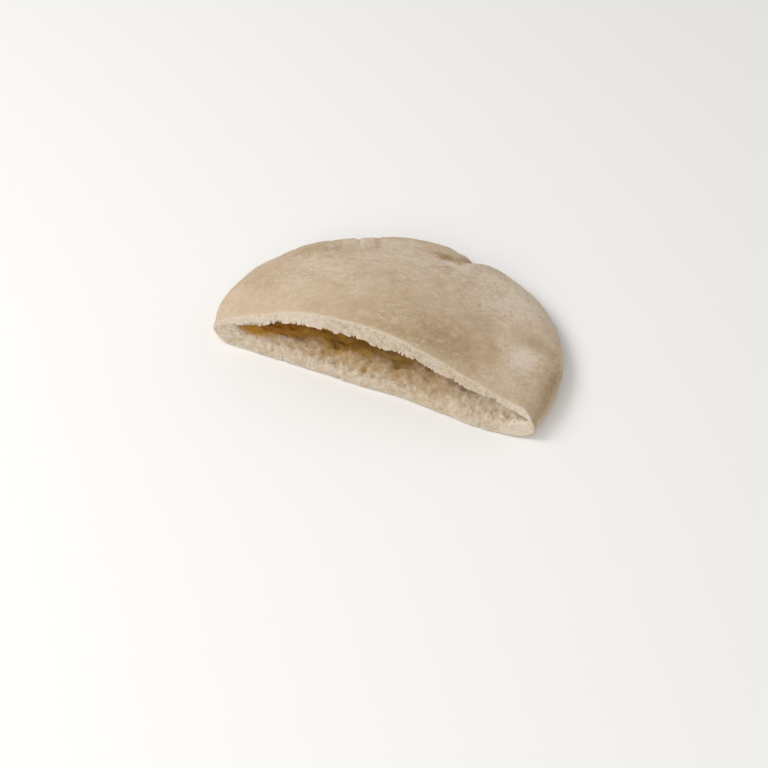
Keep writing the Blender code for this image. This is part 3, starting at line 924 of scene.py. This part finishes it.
def crumb_colour(nodes, places, hollow):
    """Pale crumb with painted shade in its pores and hollows and a painted highlight on its ridges, and
    with painted shade that turns it tan, brown and dark further into the pocket.
    """
    warmth = nodes.stretch(nodes.noise(places, 3.0, detail=3.0, roughness=0.6), 0.38, 0.62)
    crumb = nodes.mix(warmth, CRUMB, CRUMB_WARM)
    # Painted highlight: crumb that stands above its surroundings is painted paler.
    crumb = nodes.mix(nodes.stretch(hollow, -0.05, -0.35), crumb, CRUMB_PALE_AND_HIGHLIGHT)
    crumb = nodes.mix(nodes.times(nodes.attribute("pale"), 0.7), crumb, CRUMB_PALE_AND_HIGHLIGHT)
    # Painted shade in pits, in finer pores too small to model, and in hollows of the crumb.
    fine_pore_shade = nodes.stretch(nodes.noise(places, 0.8, detail=3.0, roughness=0.65), 0.56, 0.72)
    pore_and_hollow_shade = nodes.times(nodes.attribute("pore_shade"), 0.7)
    pore_and_hollow_shade = nodes.math("MAXIMUM", pore_and_hollow_shade, nodes.times(fine_pore_shade, 0.5))
    pore_and_hollow_shade = nodes.math("MAXIMUM", pore_and_hollow_shade, nodes.stretch(hollow, 0.05, 0.6))
    crumb = nodes.mix(pore_and_hollow_shade, crumb, CRUMB_PORE_SHADE)
    # Painted shade: tan and then brown, deeper into the pocket.
    crumb = nodes.mix(nodes.attribute("tan"), crumb, nodes.mix(1.0, crumb, CRUMB_TAN_SHADE, "MULTIPLY"))
    crumb = nodes.mix(nodes.times(nodes.attribute("brown_shade"), 0.95), crumb, CRUMB_DEEP_SHADE)
    # Painted shade, darker still, in hollows, on the brown to the right and low on the cut face.
    return nodes.mix(nodes.attribute("spot_shade"), crumb, CRUMB_SPOT_SHADE)


def bread_bump(nodes, places):
    """Fine grain, stronger on the crumb than on the crust."""
    grain = nodes.noise(places, 0.5, detail=3.0, roughness=0.6)
    coarse = nodes.noise(places, 1.6, detail=2.0, roughness=0.5)
    height = nodes.plus(grain, nodes.times(coarse, 1.2))
    strength = nodes.stretch(nodes.attribute("crumb"), 0.0, 1.0, 0.35, 0.8)
    inputs = {"Strength": strength, "Distance": BUMP_HEIGHT, "Height": height}
    return nodes.add("ShaderNodeBump", inputs).outputs["Normal"]


def bread_material():
    material = bpy.data.materials.new("bread")
    material.use_nodes = True
    nodes = Nodes(material.node_tree)
    shader = material.node_tree.nodes["Principled BSDF"]
    coordinates = nodes.add("ShaderNodeTexCoord").outputs["Object"]
    inputs = {0: coordinates, 3: 1.0 / MM}
    places = nodes.add("ShaderNodeVectorMath", inputs, operation="SCALE").outputs[0]
    hollow = nodes.attribute("hollow")
    crust = crust_colour(nodes, places, hollow)
    crumb = crumb_colour(nodes, places, hollow)
    colour = nodes.mix(nodes.attribute("crumb"), crust, crumb)
    colour = nodes.mix(nodes.times(nodes.attribute("rind"), 0.45), colour, RIND)
    material.node_tree.links.new(colour, shader.inputs["Base Color"])
    material.node_tree.links.new(bread_bump(nodes, places), shader.inputs["Normal"])
    shader.inputs["Roughness"].default_value = BREAD_ROUGHNESS
    shader.inputs["Specular IOR Level"].default_value = BREAD_SPECULAR
    shader.inputs["Subsurface Weight"].default_value = BREAD_SUBSURFACE
    shader.inputs["Subsurface Radius"].default_value = SUBSURFACE_RADIUS
    shader.inputs["Subsurface Scale"].default_value = SUBSURFACE_SCALE
    return material


# ---------------------------------------------------------------- stage
FLOOR_HALF_WIDTH = 3
FLOOR_COLOUR = (0.93, 0.925, 0.915, 1.0)
FLOOR_ROUGHNESS = 0.9
FLOOR_SPECULAR = 0.1
WORLD_COLOUR = (1, 1, 1, 1)
WORLD_STRENGTH = 0.40
# The lights: name, power in watts, width, colour and place; each one shines on the origin
LIGHTS = (
    ("key", 6.6, 0.6, (1.0, 0.98, 0.95), (-0.68, -0.25, 0.90)),
    ("fill", 4.6, 0.8, (1.0, 0.98, 0.95), (0.05, -0.95, 0.75)),
    ("back", 1.3, 0.8, (0.96, 0.98, 1.0), (0.70, 0.65, 0.55)),
)
# The camera looks past the middle of the cut by a little to its own right and up, in metres
AZIMUTH = math.radians(22.4)
ELEVATION = math.radians(48.5)
DISTANCE = 0.9
LENS = 93.3
SENSOR_WIDTH = 36
AIM_RIGHT = 0.0061
AIM_UP = 0.00235


def floor_material():
    material = bpy.data.materials.new("floor")
    material.use_nodes = True
    shader = material.node_tree.nodes["Principled BSDF"]
    shader.inputs["Base Color"].default_value = FLOOR_COLOUR
    shader.inputs["Roughness"].default_value = FLOOR_ROUGHNESS
    shader.inputs["Specular IOR Level"].default_value = FLOOR_SPECULAR
    return material


def add_floor():
    far = FLOOR_HALF_WIDTH
    corners = [(-far, -far, 0), (far, -far, 0), (far, far, 0), (-far, far, 0)]
    mesh = bpy.data.meshes.new("floor")
    mesh.from_pydata(corners, [], [(0, 1, 2, 3)])
    mesh.materials.append(floor_material())
    floor = bpy.data.objects.new("floor", mesh)
    bpy.context.scene.collection.objects.link(floor)


def add_light(name, power, width, colour, place):
    data = bpy.data.lights.new(name, "AREA")
    data.energy = power
    data.size = width
    data.color = colour
    light = bpy.data.objects.new(name, data)
    light.location = place
    light.rotation_euler = (-Vector(place)).to_track_quat("-Z", "Y").to_euler()
    bpy.context.scene.collection.objects.link(light)


def add_world():
    world = bpy.data.worlds.new("studio")
    bpy.context.scene.world = world
    world.use_nodes = True
    background = world.node_tree.nodes["Background"]
    background.inputs["Color"].default_value = WORLD_COLOUR
    background.inputs["Strength"].default_value = WORLD_STRENGTH


def add_camera(offset):
    """Adds the camera, given what moves the round's centre to the bread, in millimetres."""
    backwards = Vector((
        math.sin(AZIMUTH) * math.cos(ELEVATION),
        -math.cos(AZIMUTH) * math.cos(ELEVATION),
        math.sin(ELEVATION),
    ))
    right = Vector((math.cos(AZIMUTH), math.sin(AZIMUTH), 0))
    up = backwards.cross(right)
    middle_of_cut = Vector((0, -CUT_SETBACK, 0)) * MM + Vector(offset) * MM
    aim = middle_of_cut + right * AIM_RIGHT + up * AIM_UP
    data = bpy.data.cameras.new("camera")
    data.lens = LENS
    data.sensor_width = SENSOR_WIDTH
    camera = bpy.data.objects.new("camera", data)
    camera.location = aim + backwards * DISTANCE
    camera.rotation_euler = (-backwards).to_track_quat("-Z", "Y").to_euler()
    bpy.context.scene.collection.objects.link(camera)
    bpy.context.scene.camera = camera


offset = add_bread()
add_floor()
for light in LIGHTS:
    add_light(*light)
add_world()
bpy.context.scene.view_settings.view_transform = "Standard"
add_camera(offset)
